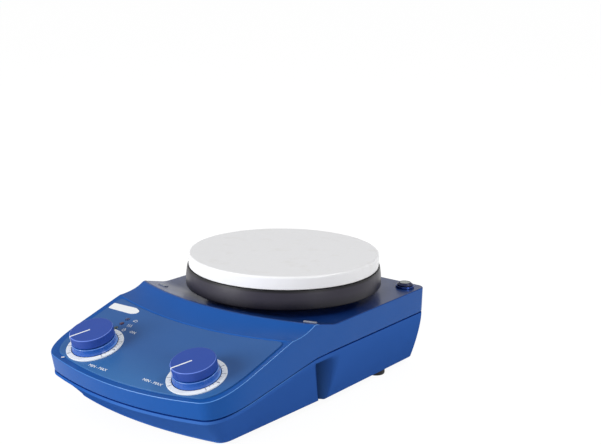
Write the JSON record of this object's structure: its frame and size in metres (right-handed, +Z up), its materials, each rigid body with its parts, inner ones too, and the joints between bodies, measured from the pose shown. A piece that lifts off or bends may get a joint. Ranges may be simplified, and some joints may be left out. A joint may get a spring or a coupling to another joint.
{
  "type": "hotplate stirrer",
  "caption": "Low blue laboratory hotplate stirrer: sloping console with two dials in front, round white heated plate on a dark ring over the rear deck.",
  "frame": {"origin": "middle of the bounding box, on the table under the feet", "axes": "+Z up; -Y towards the operator, the side with the dials; +X to the operator's right"},
  "size_m": [0.1498, 0.2356, 0.085],
  "materials": {
    "body": "blue moulded plastic, slightly glossy",
    "film": "blue polyester film",
    "knob": "violet-blue moulded plastic",
    "dial_white": "printed white",
    "steel": "plain steel",
    "plate_coating": "white ceramic coating",
    "tray_coating": "dark grey coating",
    "fibre": "ceramic fibre",
    "mica": "mica sheet",
    "black_plastic": "black plastic",
    "brass": "plain brass",
    "ferrite": "ferrite magnet",
    "copper": "copper winding",
    "lamp_green": "tinted lens",
    "lamp_red": "tinted lens",
    "lamp_blue": "tinted lens",
    "board": "green board",
    "heatsink": "plain aluminium",
    "fuse_glass": "clear glass",
    "rubber": "black rubber"
  },
  "bodies": {
    "housing": {"lower_housing": "body", "upper_housing": "body", "panel_film": "film", "heat_dial_ring": "dial_white", "speed_dial_ring": "dial_white", "heat_nut": "steel", "speed_nut": "steel", "heat_regulator": "steel", "speed_regulator": "steel", "top_plate": "plate_coating", "plate_tray": "tray_coating", "insulation_disc": "fibre", "heater_element": "mica", "plate_neck": "black_plastic", "plate_sensor": "steel", "plate_bolt_1": "steel", "plate_bolt_2": "steel", "plate_bolt_3": "steel", "plate_bolt_4": "steel", "motor_can": "steel", "motor_end_cap": "black_plastic", "motor_bush_upper": "brass", "motor_bush_lower": "brass", "field_magnets": "ferrite", "motor_bracket": "steel", "left_motor_screw": "steel", "right_motor_screw": "steel", "stir_lamp": "lamp_green", "power_lamp": "lamp_red", "heat_lamp": "lamp_blue", "control_board": "board", "board_heatsink": "heatsink", "power_inlet": "black_plastic", "line_pin": "brass", "neutral_pin": "brass", "earth_pin": "brass", "switch_frame": "black_plastic", "rod_socket": "steel", "socket_nut": "steel", "front_left_foot": "rubber", "front_right_foot": "rubber", "rear_left_foot": "rubber", "rear_right_foot": "rubber", "front_left_screw": "steel", "front_right_screw": "steel", "rear_left_screw": "steel", "rear_right_screw": "steel"},
    "heat_dial": {"heat_knob": "knob", "heat_shaft": "steel"},
    "speed_dial": {"speed_knob": "knob", "speed_shaft": "steel"},
    "rotor": {"motor_armature": "copper", "magnet_carrier": "steel", "drive_magnet_north": "ferrite", "drive_magnet_south": "ferrite"},
    "rocker": {"switch_rocker": "black_plastic"},
    "drawer": {"fuse_drawer": "black_plastic", "fuse": "fuse_glass"},
    "plug": {"socket_plug": "knob"}
  },
  "joints": [
    {"name": "heat_dial_turn", "type": "hinge", "parent": "housing", "child": "heat_dial", "pos_m": [-0.0435, -0.09059, 0.04327], "axis": [0, -0.2812, 0.9597], "range_deg": [-270, 0]},
    {"name": "speed_dial_turn", "type": "hinge", "parent": "housing", "child": "speed_dial", "pos_m": [0.0435, -0.09059, 0.04327], "axis": [0, -0.2812, 0.9597], "range_deg": [-270, 0]},
    {"name": "rotor_spin", "type": "hinge", "parent": "housing", "child": "rotor", "pos_m": [0, 0.04621, 0.05], "axis": [0, 0, 1], "continuous": true},
    {"name": "switch_rock", "type": "hinge", "parent": "housing", "child": "rocker", "pos_m": [0.00345, 0.11331, 0.0225], "axis": [1, 0, 0], "range_deg": [0, 16]},
    {"name": "fuse_drawer_slide", "type": "slide", "parent": "housing", "child": "drawer", "axis": [0, 1, 0], "range_m": [0, 0.018]},
    {"name": "socket_plug_lift", "type": "slide", "parent": "housing", "child": "plug", "axis": [0, 0, 1], "range_m": [0, 0.012]}
  ]
}
